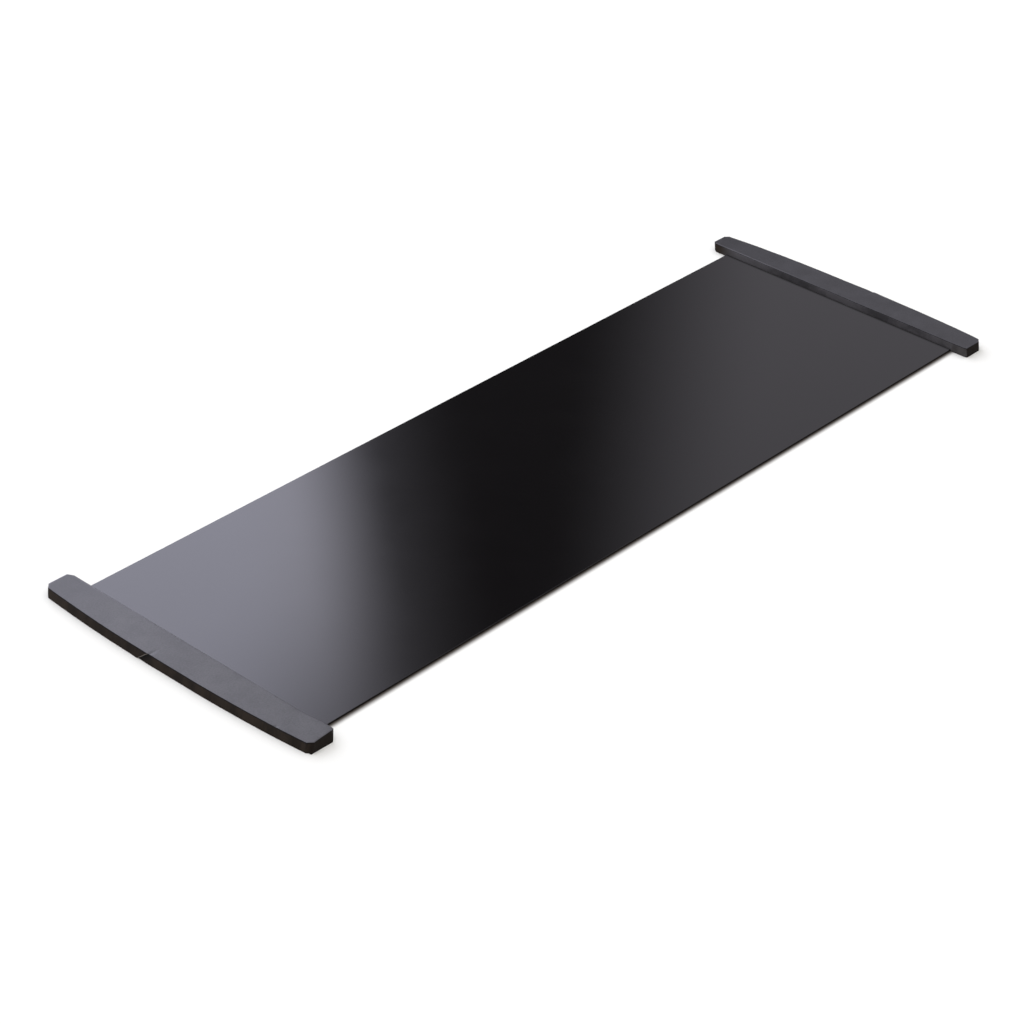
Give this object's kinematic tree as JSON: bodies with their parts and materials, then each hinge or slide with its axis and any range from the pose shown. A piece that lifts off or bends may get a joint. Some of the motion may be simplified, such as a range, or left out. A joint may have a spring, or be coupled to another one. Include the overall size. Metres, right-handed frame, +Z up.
{
  "type": "slide board",
  "caption": "Thin slippery black sheet on an anti-slip backing with a low soft stop across each end, for lateral skating exercise on a floor.",
  "frame": {"origin": "on the floor at the centre of the footprint", "axes": "+X along the slide direction, from the left stop to the right stop; +Y across the sheet; +Z up"},
  "size_m": [1.8, 0.61, 0.018],
  "materials": {
    "sheet_plastic": "satin gloss polyethylene, softly mirroring",
    "grip_layer": "matt anti-slip, fine texture",
    "stop_foam": "matt closed-cell foam",
    "stop_band": "matt brown-black with faint upright streaks",
    "stop_skin": "matt grey-black with a fine grain",
    "rail_wood": "sanded plywood",
    "insert_brass": "machined",
    "screw_steel": "zinc plated"
  },
  "bodies": {
    "root": {"slide_sheet": "sheet_plastic", "grip_backing": "grip_layer", "left_stop_foam": "stop_foam", "left_stop_edge_band": "stop_band", "left_stop_top_skin": "stop_skin", "left_stop_sole": "grip_layer", "left_stop_rail": "rail_wood", "left_stop_inserts": "insert_brass", "left_stop_screws": "screw_steel", "right_stop_foam": "stop_foam", "right_stop_edge_band": "stop_band", "right_stop_top_skin": "stop_skin", "right_stop_sole": "grip_layer", "right_stop_rail": "rail_wood", "right_stop_inserts": "insert_brass", "right_stop_screws": "screw_steel"}
  },
  "joints": []
}
